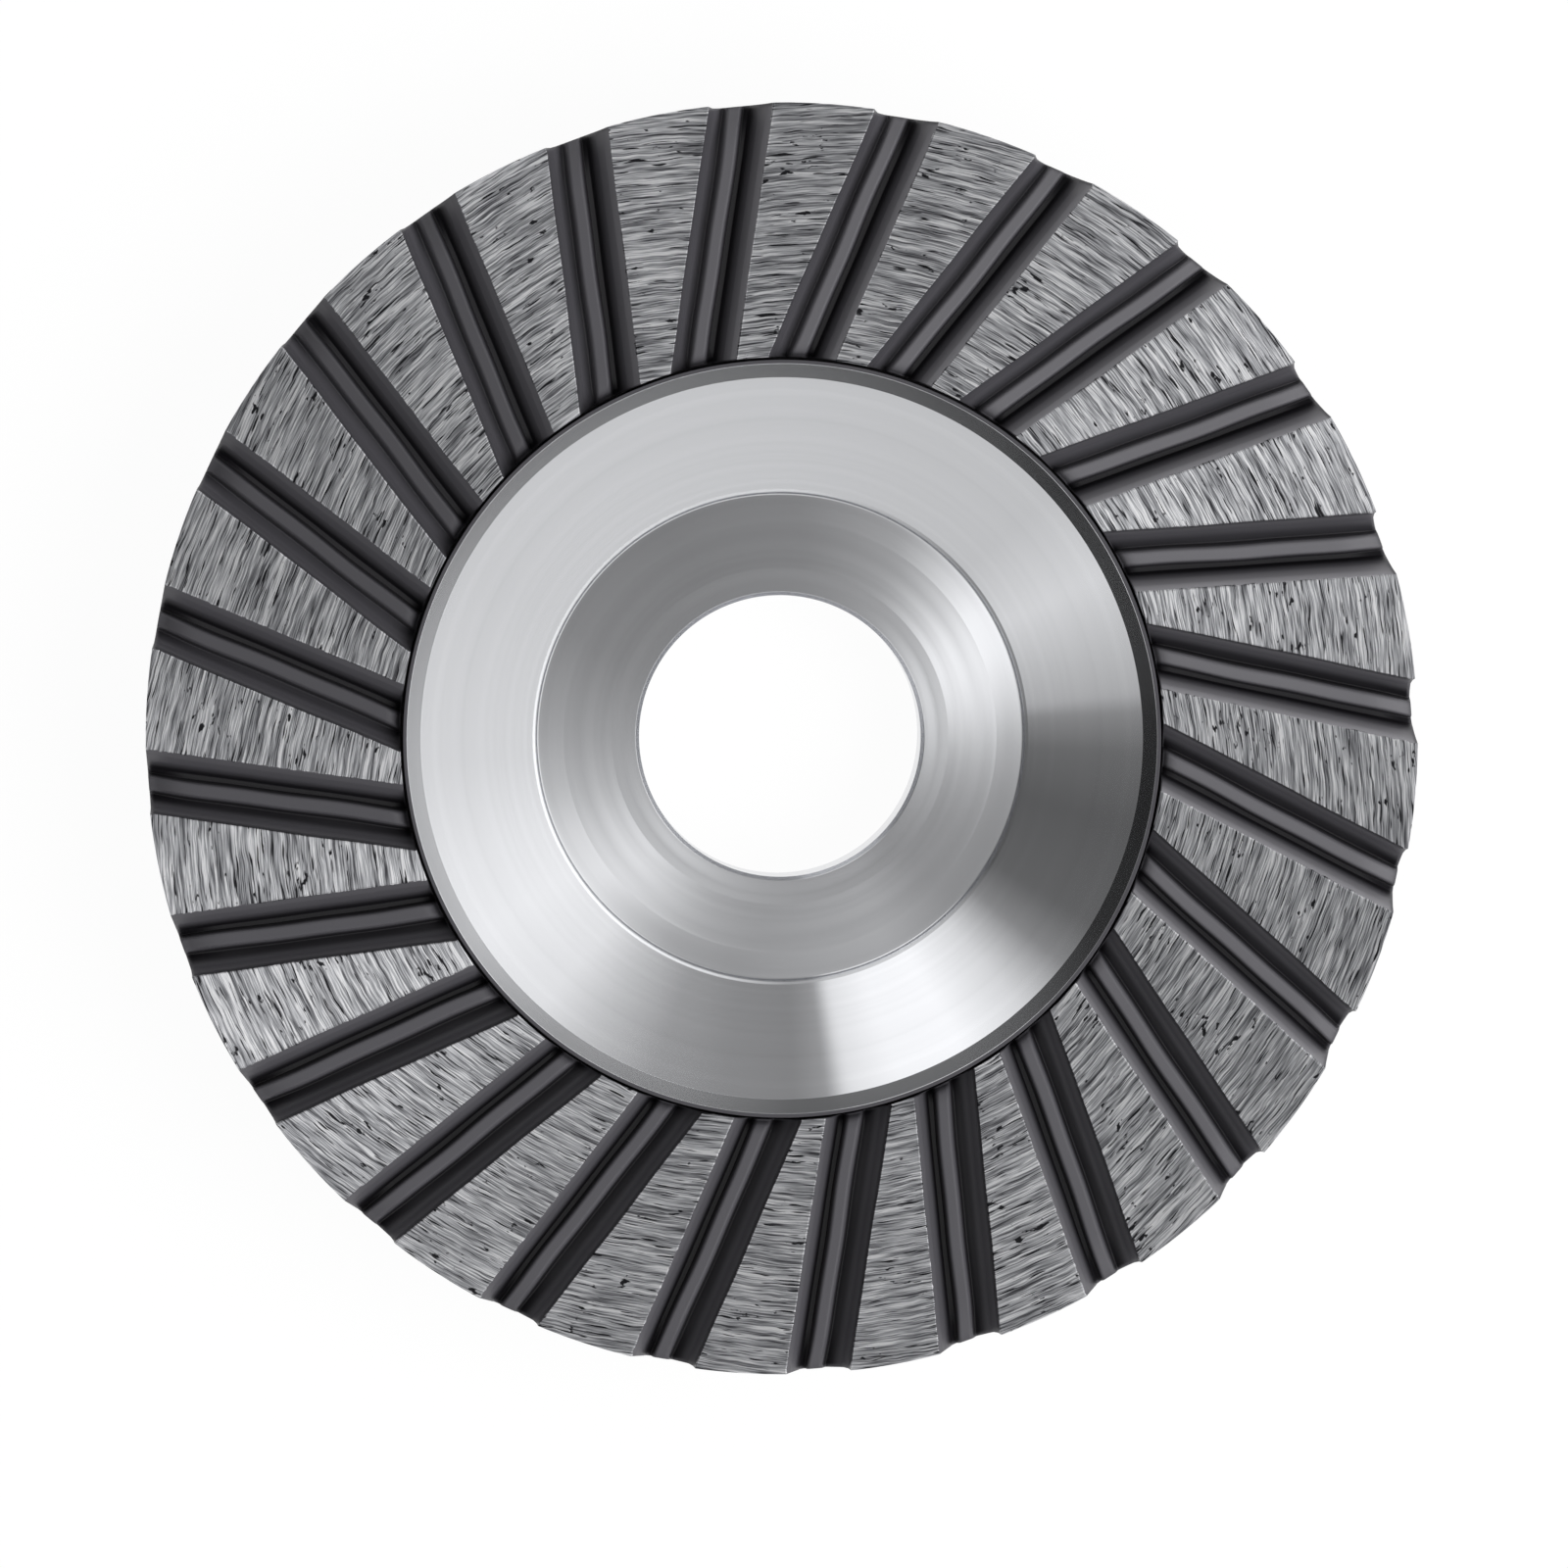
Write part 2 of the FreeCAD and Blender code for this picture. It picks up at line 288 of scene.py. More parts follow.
# %% Rim: the section of a groove
# Every groove's centre line touches a circle of the radius SWEEP, and FIRST is the angle of
# the first one in degrees. The section's corners are (offset, height, rounding).
GROOVES = 24
SWEEP = 10.5
FIRST = 6.5
HALF = 2.5
DEPTH = 2.25
groove_corners = [
    (-HALF - 2.0, 0.0, 0.0),
    (-HALF, 0.0, 0.09),
    (-2.33, -0.95, 0.4),
    (-1.9, -1.6, 0.9),
    (-1.35, -2.02, 0.9),
    (-0.85, -DEPTH, 0.1),
    (-0.62, -1.2, 0.3),
    (-0.42, -0.97, 0.35),
    (0.38, -0.95, 0.4),
    (0.56, -1.15, 0.25),
    (0.72, -DEPTH, 0.05),
    (1.12, -DEPTH, 0.08),
    (1.3, -1.75, 0.4),
    (1.68, -1.03, 0.6),
    (2.08, -0.44, 0.5),
    (HALF, 0.0, 0.15),
    (HALF + 2.0, 0.0, 0.0),
]
# The two outermost points only steer the rounding of the edges, and are cut away again.
groove_line = rounded(groove_corners, steps=2)
inside = np.abs(groove_line[:, 0]) < HALF + 0.25
groove_line = groove_line[inside][::-1]
offsets, depths = groove_line[:, 0], groove_line[:, 1]
print("groove section:", len(offsets), "points")

# %% [markdown]
# Between two grooves lies a land, the part that grinds. Its columns share the angle between
# the edges of its two grooves, so lands are wedges that widen outwards. In the photo no two
# grooves stand quite alike, and some lie more than a millimetre off the even pitch. Here each
# rib wanders by a few hundredths as well.

# %% Rim: columns and rows
LAND_COLUMNS = 11
RIM_INNER = 30.0
TOP_RADIUS = 50.0
DRAFT = math.tan(math.radians(8.0))
ROWS = 26
FILLET = 0.12
FIRST_COMPASS = 338.3
radial_share = np.concatenate([[0, 0.003, 0.008], np.linspace(0.02, 0.97, ROWS), [0.99]])

# %% Rim: how grooves and ribs stray
# "turn" is each groove's place round the axis, and "compass" the same place read clockwise
# from the top, where the groove's middle is seen.
turn = math.radians(FIRST) + np.arange(GROOVES)[:, None, None] * 2 * np.pi / GROOVES
compass = (FIRST_COMPASS - np.degrees(turn) + FIRST) % 360


def bump(middle, width):
    """1 at that compass angle of the wheel, falling off on both sides like a bell."""
    away = (compass - middle + 180) % 360 - 180
    return np.exp(-(away / width) ** 2)


def drift(radius):
    """How far each groove lies off the even pitch, in mm: a slow wave round the wheel.

    Three bells make the wave and three more slant the grooves. Together they follow the
    places of the grooves that were measured in the photo.
    """
    shift = 1.5 * bump(140, 34) + 0.35 * bump(95, 30) - 0.65 * bump(195, 22)
    slant = 0.75 * bump(100, 48) - 0.5 * bump(228, 22) - 0.2 * bump(310, 40)
    return shift + slant * (radius - 40) / 10


def rib_shift(offset):
    """The ribs stand off their grooves' middle too, to one side above and the other below."""
    hold = np.clip((2.3 - np.abs(offset)) / 1.2, 0, 1)
    return (-0.08 - 0.33 * np.cos(np.radians(compass - 345))) * hold


def wave(radius, amplitude, seed):
    """A slow wave along the groove, sum of two sines with a phase of their own per groove."""
    phase = np.random.default_rng(seed).uniform(0, 2 * np.pi, (2, GROOVES, 1, 1))
    return amplitude * (np.sin(radius / 3.1 + phase[0]) + 0.6 * np.sin(radius / 1.3 + phase[1]))


def groove_angle(offset, radius):
    """Polar angle of the point at that offset from the centre line and that radius."""
    return np.pi / 2 + np.arcsin((SWEEP - offset) / radius)


# %% Rim: the grid of the grooves
# At the mouth the outer wall is pulled in a little, least at the wheel's left.
share = radial_share[None, :, None]
right_side = 0.62 - 0.38 * np.cos(np.radians(compass - 270))
pulled_in = rng.uniform(0.08, 0.28, GROOVES)[:, None, None] * right_side
steep_side = np.clip((offsets + HALF) / 0.4, 0, 1)
ramp_side = np.clip((HALF - offsets) / 4.6, 0, 1) ** 1.3
notch = pulled_in * (steep_side * ramp_side)[None, None, :]
hollow = np.clip(1 - np.abs(offsets / HALF) ** 3, 0, 1)[None, None, :]
outer = TOP_RADIUS - DEPTH * DRAFT * hollow * right_side - notch
radius = RIM_INNER + FILLET + (outer - FILLET - RIM_INNER - FILLET) * share
rib_weight = np.exp(-(offsets / 1.1) ** 4)[None, None, :]
edge_weight = np.exp(-((np.abs(offsets) - HALF) / 0.5) ** 2)[None, None, :]
wander = wave(radius, 0.05, 1) * rib_weight + wave(radius, 0.03, 2) * edge_weight
moved = offsets[None, None, :] + wander + rib_shift(offsets)
groove_theta = groove_angle(moved + drift(radius), radius) + turn
print("grooves: %d x %d x %d points" % groove_theta.shape)

# %% Rim: heights of the grooves and the lands
# The rib sinks towards the groove's mouth and at its inner end, and the mouth itself sinks.
mouth = np.clip((radius - 46.4) / 3.4, 0, 1)
inner_end = np.clip((30.75 - radius) / 0.7, 0, 1)
rib_height = -0.95 * mouth ** 1.8 - 0.9 * inner_end ** 2
in_groove = np.clip(-depths / 0.6, 0, 1)
groove_z = HEIGHT + depths + rib_weight * rib_height - 0.2 * mouth ** 3 * in_groove
groove_z = groove_z + wave(radius, 0.02, 3) * rib_weight

land_share = (np.arange(LAND_COLUMNS) + 1) / (LAND_COLUMNS + 1)
next_first = np.roll(groove_theta[:, :, :1], -1, axis=0)
next_first[-1] += 2 * np.pi
land_start = groove_theta[:, :, -1:]
land_theta = land_start + (next_first - land_start) * land_share[None, None, :]
land_radius = np.repeat(radius[:, :, -1:], LAND_COLUMNS, axis=2)
land_z = np.full_like(land_theta, HEIGHT)
theta = np.concatenate([groove_theta, land_theta], axis=2)
radius = np.concatenate([radius, land_radius], axis=2)
top_z = np.concatenate([groove_z, land_z], axis=2)
columns_each = theta.shape[2]
print("columns per groove and land:", columns_each)

# %% [markdown]
# The same columns go on over the outer edge, down the tapered wall, along the seat and up
# the inner wall, so the rim is one closed skin with no seam to hide.

# %% Rim: the closed skin
def flat_rows(block):
    """Put the grooves side by side: (groove, row, column) becomes (row, all columns)."""
    return np.moveaxis(block, 0, 1).reshape(block.shape[1], -1)


OUTER_ROWS = 9
INNER_ROWS = 7


def with_walls(rows):
    """Repeat the outermost row down the outer wall and the innermost row up the inner wall."""
    return np.concatenate([rows, np.repeat(rows[-1:], OUTER_ROWS, axis=0),
                           np.repeat(rows[:1], INNER_ROWS, axis=0)])


theta, radius, top_z = flat_rows(theta), flat_rows(radius), flat_rows(top_z)
outer_top, inner_top = top_z[-1:], top_z[:1]
outer_edge = np.concatenate([outer[:, 0], np.full((GROOVES, LAND_COLUMNS), TOP_RADIUS)], axis=1)
wall_radius = outer_edge.ravel()[None]
quarter = np.array([0.25, 0.5, 0.75])[:, None] * np.pi / 2
fillet_radius = wall_radius - FILLET + FILLET * np.sin(quarter)
fillet_z = outer_top - FILLET + FILLET * np.cos(quarter)
wall_share = np.array([0, 0.04, 0.35, 0.7, 0.96, 1])[:, None]
wall_z = (outer_top - FILLET) + (SEAT - outer_top + FILLET) * wall_share
pulled = TOP_RADIUS + (wall_z[:1] - HEIGHT) * DRAFT - wall_radius
wall_r = TOP_RADIUS + (wall_z - HEIGHT) * DRAFT - pulled * (1 - wall_share)
inner_z = SEAT + (inner_top - FILLET - SEAT) * np.array([0, 0.3, 0.96, 1])[:, None]
inner_r = np.full_like(inner_z, RIM_INNER)
inner_fillet_r = RIM_INNER + FILLET * (1 - np.cos(quarter))
inner_fillet_z = inner_top - FILLET + FILLET * np.sin(quarter)
skin_radius = np.concatenate([radius, fillet_radius, wall_r, inner_r,
                              np.broadcast_to(inner_fillet_r, inner_fillet_z.shape)])
skin_z = np.concatenate([top_z, fillet_z, wall_z, inner_z, inner_fillet_z])
skin_theta = with_walls(theta)
rim_points = np.stack([skin_radius * np.cos(skin_theta), skin_radius * np.sin(skin_theta),
                       skin_z], axis=-1)
rim, rim_quads = grid_mesh("abrasive_ring", rim_points[::-1])
print("rim:", 2 * len(rim.data.polygons), "triangles")

# %% [markdown]
# The finish differs by place: lands are ground bare, grooves keep their dark enamel. The
# mesh carries that as attributes in millimetres, so the material can draw ragged edges.
# "from_edge" is the distance into the land from its nearest edge, negative in the groove.

# %% Rim: distance from the edge
groove_edge = np.abs(moved) - HALF
start_gap = (land_theta - land_start) * land_radius
end_gap = (next_first - land_theta) * land_radius
land_edge = np.minimum(start_gap, end_gap) + 0.2
from_edge = with_walls(flat_rows(np.concatenate([groove_edge, land_edge], axis=2)))
print("from the edge: %.2f to %.2f mm" % (from_edge.min(), from_edge.max()))

# %% [markdown]
# The enamel's lightness, stored per point, is partly the coat's own and partly painted light and
# shade: 0 is painted black shade, 0.2 the fresh coat's own grey and 1 a painted highlight. The
# ramps' upper edges are lighter, partly as wear and partly as painted highlight, and the ribs'
# crests carry a painted highlight, both most at the upper right. Painted shade lies in the slot,
# darkens the channel towards the rib and lightens it by the wall, least at the top of the wheel,
# and dims the ribs' crests at the upper left.

# %% Rim: the enamel's lightness, with painted light and shade
FRESH = 0.2
# Lighter enamel at the ramps' upper edge and on the ribs' crests, strongest at the upper right: a
# painted highlight, and at the ramps' edge partly wear.
painted_light_round = np.clip(0.15 + 0.7 * np.cos(np.radians(compass - 55)), 0.06, 1)
painted_crest_highlight = 0.22 * np.exp(-((offsets + 0.05) / 0.6) ** 4)[None, None, :]
wear_and_painted_light = (np.clip((moved - 1.2) / 1.3, 0, 1) ** 1.5 + painted_crest_highlight) * painted_light_round
# Painted shade across the channel, darkest at the rib's foot, with a painted lighter strip by the
# wall, weakest at the top of the wheel.
painted_shade_round = np.clip(1 - 1.4 * np.cos(np.radians(compass - 353)), 0, 1)
painted_channel_shading = 0.12 - 0.32 * np.clip((offsets + 2.35) / 1.05, 0, 1)
channel = painted_channel_shading * band(offsets, -2.45, -0.6, 0.12)
# Painted shade in the narrow slot beside each rib.
painted_slot_shade = -0.2 * np.exp(-((offsets - 1.02) / 0.5) ** 4)
# Painted shade on the ribs' crests at the upper left of the wheel.
painted_crest_shade = -0.08 * bump(308, 45) * np.exp(-(offsets / 0.6) ** 4)
changes = (1 - FRESH) * wear_and_painted_light + channel * painted_shade_round + painted_slot_shade + painted_crest_shade
# The sum is the fresh coat's grey with painted highlight, painted shade and some wear on top.
coat_and_shade = np.clip(FRESH + changes, 0, 1)
coat_and_shade = flat_rows(np.concatenate([coat_and_shade, np.ones_like(land_edge)], axis=2))
coat_and_shade = np.concatenate([coat_and_shade, np.full((OUTER_ROWS + INNER_ROWS, coat_and_shade.shape[1]), FRESH)])
print("mean lightness of the coat: %.2f" % coat_and_shade.mean())

# %% [markdown]
# "grain" holds the way along and across the grinding marks. The marks are drawn as arcs, as
# a stone swung over the rim would leave them, and slant a little differently on each land.

# %% Rim: the way of the grinding marks
SWEEP_LEAN = 13
land_number = np.repeat(np.arange(GROOVES), columns_each)
half_way = np.tile(np.arange(columns_each) < len(offsets) // 2, GROOVES)
land_number = np.where(half_way, (land_number - 1) % GROOVES, land_number)
slant = rng.normal(0, 0.09, GROOVES)[land_number]
shift = rng.uniform(0, 90, GROOVES)[land_number]
first_middle = np.pi / 2 + math.radians(FIRST + 180 / GROOVES + SWEEP_LEAN)
middle_theta = first_middle + land_number * 2 * np.pi / GROOVES
swing = (skin_theta - middle_theta + np.pi) % (2 * np.pi) - np.pi
along = swing * skin_radius
over = skin_radius * np.cos(np.clip(swing, -0.5, 0.5) * 0.6) + slant * along
grain = np.stack([along + shift, over, shift + 0 * along], axis=-1)


# %% Rim: attributes and UV
def put_attribute(piece, name, kind, values):
    """Store one value per point, in the grid's own order."""
    attribute = piece.data.attributes.new(name, kind, "POINT")
    key = "vector" if kind == "FLOAT_VECTOR" else "value"
    attribute.data.foreach_set(key, values[::-1].astype(np.float32).ravel())


put_attribute(rim, "from_edge", "FLOAT", from_edge)
put_attribute(rim, "coat_and_shade", "FLOAT", coat_and_shade)
put_attribute(rim, "grain", "FLOAT_VECTOR", grain)
rim_layer = rim.data.uv_layers.new(name="rings")
flat_radius = skin_radius[::-1].ravel()[rim_quads]
flat_theta = skin_theta[::-1].ravel()[rim_quads]
flat_theta = flat_theta[:, :1] + (flat_theta - flat_theta[:, :1] + np.pi) % (2 * np.pi) - np.pi
side_step = np.where(np.abs(skin_z[::-1].ravel()[rim_quads] - HEIGHT) > 3, 0.01, 0.0)
rim_uv = np.stack([flat_radius / 100 + side_step, flat_theta / (2 * np.pi)], axis=-1)
rim_layer.data.foreach_set("uv", rim_uv.astype(np.float32).ravel())

# %% [markdown]
# Turned steel is bright and satin: the lathe's rings are far too fine to see, but they
# stretch every reflection across them. That is anisotropic roughness, and the UV map gives
# its direction. A metal keeps the default IOR, because its colour is its reflection.

# %% Material: turned bright steel
def new_material(name):
    """An empty node material and its shader socket's owner, the Material Output."""
    material = bpy.data.materials.new(name)
    material.use_nodes = True
    material.node_tree.nodes.clear()
    output = add_node(material.node_tree, "ShaderNodeOutputMaterial")
    return material, material.node_tree, output


steel, tree, output = new_material("turned_bright_steel")
tangent = add_node(tree, "ShaderNodeTangent", direction_type="UV_MAP", uv_map="rings")
place = add_node(tree, "ShaderNodeTexCoord")
ring = add_node(tree, "ShaderNodeVectorMath", {0: place.outputs["Object"], 1: (1, 1, 0)},
                operation="MULTIPLY")
reach = add_node(tree, "ShaderNodeVectorMath", {0: ring.outputs["Vector"]}, operation="LENGTH")
rings = add_node(tree, "ShaderNodeTexNoise", {"W": reach.outputs["Value"], "Scale": 900.0,
                                              "Detail": 3.0}, noise_dimensions="1D")
steel_tone = set_stops(add_node(tree, "ShaderNodeValToRGB", {"Fac": rings.outputs["Fac"]}),
                       [(0.3, linear("dfe0e3")), (0.7, linear("e4e5e8"))])
steel_shader = add_node(tree, "ShaderNodeBsdfPrincipled", {
    "Base Color": steel_tone.outputs["Color"],
    "Metallic": 1.0,
    "Roughness": 0.12,
    "Anisotropic": 1.0,
    "Tangent": tangent.outputs["Tangent"],
})
tree.links.new(steel_shader.outputs["BSDF"], output.inputs["Surface"])

# %% [markdown]
# The back of the cup, its collar and the grooves are given a dark enamel. It is a satin coat: a
# dark colour with a broad, weak gloss. The light makes it lighter on crests and nearly black in
# hollows, and in the grooves painted light and shade add to that.

# %% Material: dark satin enamel
def enamel_coat(tree, place, colour):
    """Shader of sprayed satin enamel: that colour, and the faint unevenness of a spray mist."""
    mist = add_node(tree, "ShaderNodeTexNoise", {"Vector": place.outputs["Object"],
                                                 "Scale": 900.0})
    peel = add_node(tree, "ShaderNodeBump", {"Height": mist.outputs["Fac"], "Strength": 0.08,
                                             "Distance": 0.0001})
    return add_node(tree, "ShaderNodeBsdfPrincipled", {"Base Color": colour, "Roughness": 0.42,
                                                       "Normal": peel.outputs["Normal"]})


enamel, tree, output = new_material("dark_satin_enamel")
enamel_shader = enamel_coat(tree, add_node(tree, "ShaderNodeTexCoord"), linear("3c3b3f"))
tree.links.new(enamel_shader.outputs["BSDF"], output.inputs["Surface"])

cup.data.materials.append(steel)
cup.data.materials.append(enamel)
middles = turned_profile + (np.roll(turned_profile, -1, axis=0) - turned_profile) / 2
is_back = (middles[:, 0] > 20.9) & (middles[:, 1] < SEAT + 0.05)
is_coated = is_back | (middles[:, 0] > COLLAR - 0.28)
cup.data.polygons.foreach_set("material_index",
                              np.repeat(is_coated.astype(np.int32), SEGMENTS))
print("enamelled rows of the profile:", int(is_coated.sum()), "of", len(is_coated))

# %% [markdown]
# The lands are sintered matrix, ground bare: a grey metal full of fine tangential
# scratches, with dark pits where grit or powder has pulled out. Streaks are noise stretched
# along the "grain" attribute, from 0.1 to 0.4 mm apart and a few millimetres long. The
# enamel in the grooves stops at the ground surface, along a line ragged by a tenth or so.

# %% Material: ground sintered matrix with enamelled grooves
matrix, tree, output = new_material("ground_sintered_matrix")
grain_node = add_node(tree, "ShaderNodeAttribute", attribute_name="grain")
edge_node = add_node(tree, "ShaderNodeAttribute", attribute_name="from_edge")
place = add_node(tree, "ShaderNodeTexCoord")

waver = add_node(tree, "ShaderNodeTexNoise", {"Vector": grain_node.outputs["Vector"],
                                              "Scale": 0.55, "Detail": 1.0})
waver_shift = add_node(tree, "ShaderNodeMapRange", {"Value": waver.outputs["Fac"],
                                                    "To Min": -0.12, "To Max": 0.12})
bend = add_node(tree, "ShaderNodeCombineXYZ", {"Y": waver_shift.outputs["Result"]})
bent = add_node(tree, "ShaderNodeVectorMath", {0: grain_node.outputs["Vector"],
                                               1: bend.outputs["Vector"]}, operation="ADD")


def streaks(tree, source, along_mm, over_mm, detail=3.0, rough=0.6):
    """Noise stretched into marks of that length and spacing."""
    size = add_node(tree, "ShaderNodeVectorMath",
                    {0: source, 1: (1 / along_mm, 1 / over_mm, 1.0)}, operation="MULTIPLY")
    return add_node(tree, "ShaderNodeTexNoise", {"Vector": size.outputs["Vector"], "Scale": 1.0,
                                                 "Detail": detail, "Roughness": rough})


coarse = streaks(tree, bent.outputs["Vector"], 6.0, 0.36, detail=2.0)
fine = streaks(tree, bent.outputs["Vector"], 3.2, 0.12, detail=2.0)
both = blend(tree, 0.62, coarse.outputs["Fac"], fine.outputs["Fac"], "FLOAT")
ground_tone = set_stops(add_node(tree, "ShaderNodeValToRGB", {"Fac": both}),
                        [(0.36, linear("505054")), (0.45, linear("98999d")),
                         (0.53, linear("cecfd3")), (0.61, linear("fdfdff"))])

cracks = streaks(tree, bent.outputs["Vector"], 2.4, 0.17, detail=1.0, rough=0.4)
crack_mask = add_node(tree, "ShaderNodeMapRange", {"Value": cracks.outputs["Fac"],
                                                   "From Min": 0.36, "From Max": 0.31})
pit_spots = streaks(tree, bent.outputs["Vector"], 0.95, 0.40, detail=2.0, rough=0.5)
pit_fields = add_node(tree, "ShaderNodeTexNoise", {"Vector": grain_node.outputs["Vector"],
                                                   "Scale": 0.45, "Detail": 0.0})
pit_sum = compute(tree, "MULTIPLY_ADD", pit_fields.outputs["Fac"], 0.45,
                  pit_spots.outputs["Fac"])
pit_mask = add_node(tree, "ShaderNodeMapRange", {"Value": pit_sum,
                                                 "From Min": 0.93, "From Max": 0.985})
deep_mask = compute(tree, "MAXIMUM", crack_mask.outputs["Result"], pit_mask.outputs["Result"])
ground_colour = blend(tree, deep_mask, ground_tone.outputs["Color"], linear("2e2e31"))
relief = compute(tree, "SUBTRACT", both, deep_mask)
ground_bump = add_node(tree, "ShaderNodeBump", {"Height": relief,
                                                "Strength": 0.5, "Distance": 0.0001})
tangent = add_node(tree, "ShaderNodeTangent", direction_type="UV_MAP", uv_map="rings")
ground_shader = add_node(tree, "ShaderNodeBsdfPrincipled", {
    "Base Color": ground_colour,
    "Metallic": 1.0,
    "Roughness": 0.34,
    "Anisotropic": 0.95,
    "Normal": ground_bump.outputs["Normal"],
    "Tangent": tangent.outputs["Tangent"],
})

# %% Material: the grooves' enamel, and the line between both finishes
coat_and_shade_node = add_node(tree, "ShaderNodeAttribute", attribute_name="coat_and_shade")
# The ramp's black end is painted shade, the middle stop the fresh coat's own grey, and the light
# end painted highlight and wear.
enamel_and_shade_tone = set_stops(add_node(tree, "ShaderNodeValToRGB", {"Fac": coat_and_shade_node.outputs["Fac"]}),
                        [(0.0, linear("171619")), (FRESH, linear("424145")),
                         (1.0, linear("98979b"))])
groove_shader = enamel_coat(tree, place, enamel_and_shade_tone.outputs["Color"])
ragged = add_node(tree, "ShaderNodeTexNoise", {"Vector": place.outputs["Object"],
                                               "Scale": 2600.0, "Detail": 2.0})
ragged_edge = compute(tree, "MULTIPLY_ADD", ragged.outputs["Fac"], 0.35,
                      edge_node.outputs["Fac"])
bare = add_node(tree, "ShaderNodeMapRange", {"Value": ragged_edge,
                                             "From Min": 0.12, "From Max": 0.17})
split = add_node(tree, "ShaderNodeSeparateXYZ", {"Vector": place.outputs["Object"]})
on_top = compute(tree, "GREATER_THAN", split.outputs["Z"], (HEIGHT - 0.2) * MM)
bare_top = compute(tree, "MULTIPLY", bare.outputs["Result"], on_top)
both_finishes = add_node(tree, "ShaderNodeMixShader", {"Fac": bare_top,
                                                       1: groove_shader.outputs["BSDF"],
                                                       2: ground_shader.outputs["BSDF"]})
tree.links.new(both_finishes.outputs["Shader"], output.inputs["Surface"])
rim.data.materials.append(matrix)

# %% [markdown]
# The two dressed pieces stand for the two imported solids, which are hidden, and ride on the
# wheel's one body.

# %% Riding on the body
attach(cup, "root")
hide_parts("cup_body")
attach(rim, "root")
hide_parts("abrasive_rim")

# %% [markdown]
# The wheel lies on a white table. Seen by the camera the table is nearly pure white, and a
# small share of it is plain matt white, so that a faint soft shadow stays under the wheel.

# %% The table
def table_square(size):
    """A flat square of four corners, a hair below the hub face that rests on it."""
    mesh = bpy.data.meshes.new("table")
    corners = np.array([(-1, -1, 0), (1, -1, 0), (1, 1, 0), (-1, 1, 0)]) * size
    corners[:, 2] = -0.02 * MM
    mesh.from_pydata(corners.tolist(), [], [(0, 1, 2, 3)])
    square = bpy.data.objects.new("table", mesh)
    scene.collection.objects.link(square)
    return square


WHITE_SHARE = 0.96
table = table_square(3.0)
white, tree, output = new_material("white_table")
rays = add_node(tree, "ShaderNodeLightPath")
seen = compute(tree, "MAXIMUM", rays.outputs["Is Camera Ray"], rays.outputs["Is Glossy Ray"])
share_white = compute(tree, "MULTIPLY", seen, WHITE_SHARE)
matt = add_node(tree, "ShaderNodeBsdfDiffuse", {"Color": linear("f2f2f2")})
glow = add_node(tree, "ShaderNodeEmission", {"Color": (1, 1, 1, 1), "Strength": 1.0})
table_shader = add_node(tree, "ShaderNodeMixShader", {"Fac": share_white,
                                                      1: matt.outputs["BSDF"],
                                                      2: glow.outputs["Emission"]})
tree.links.new(table_shader.outputs["Shader"], output.inputs["Surface"])
table.data.materials.append(white)

# %% [markdown]
# Bright metal shows the room more than itself. Here the room is a sky that changes with the
# compass: bright windows ahead at both sides, a dark screen at the left, and an even wall behind.
# Close to the zenith and close to the horizon other things are seen, and a narrow bright belt
# between the middle and the low zone draws the cup's edges as fine lines. Each zone is a ramp round
# the compass with stops of (degrees, radiance). The stops of the middle zone and of the zenith come
# from the photo: greys sampled round the turned funnel and dish, at the listed angles, turned into
# radiance through the steel's reflectance, and then changed, most of them by less than a quarter,
# to bring the render closer. The low zone follows the collar's greys more loosely, and the belt's
# stops are given one by one.

# %% The room: what is seen round the compass
ROOM_MIDDLE = [(0, .28), (12, .30), (24, .38), (36, .67), (45, .97), (60, 1.08), (72, 1.0),
               (88, .82), (120, .74), (180, .70), (225, .70), (240, .87), (252, .65), (260, .52),
               (263, .30), (270, .17), (282, .12), (300, .15), (308, .30), (318, .90),
               (330, 1.3), (342, 1.25), (351, 1.0), (354, .38), (360, .28)]
ROOM_ZENITH = [(0, .44), (18, .38), (36, .46), (48, .72), (60, 1.04), (72, .90), (84, .62),
               (98, .44), (120, .28), (150, .24), (180, .27), (204, .44), (218, .85), (230, 1.25),
               (241, 1.2), (252, .92), (264, .56), (278, .39), (292, .34), (312, .34),
               (335, .50), (360, .44)]
ROOM_LOW = [(0, .10), (40, .30), (60, .55), (90, .48), (135, .22), (180, .10), (225, .0),
            (280, .0), (315, .03), (360, .10)]
ROOM_BELT = [(0, .6), (20, 1.5), (45, 2.0), (90, 2.2), (120, 1.9), (180, 1.6), (205, .8),
             (225, .3), (300, .1), (330, .7), (360, .6)]

# %% The room: its zones
world = bpy.data.worlds.new("room")
scene.world = world
world.use_nodes = True
tree = world.node_tree
tree.nodes.clear()
sky_place = add_node(tree, "ShaderNodeTexCoord")
way = add_node(tree, "ShaderNodeSeparateXYZ", {"Vector": sky_place.outputs["Generated"]})
heading = compute(tree, "ARCTAN2", way.outputs["X"], way.outputs["Y"])
around = compute(tree, "FRACT", compute(tree, "DIVIDE", heading, 2 * math.pi))


def sky_band(stops):
    """A ramp round the compass from (degrees, radiance) stops."""
    node = add_node(tree, "ShaderNodeValToRGB", {"Fac": around})
    set_stops(node, [(degrees / 360, value) for degrees, value in stops])
    return node.outputs["Color"]


def zone(start, full):
    """0 where a direction leans from the zenith by the start's degrees, 1 at full's degrees."""
    ends = {"From Min": math.cos(math.radians(start)), "From Max": math.cos(math.radians(full))}
    node = add_node(tree, "ShaderNodeMapRange", {"Value": way.outputs["Z"]} | ends)
    return node.outputs["Result"]


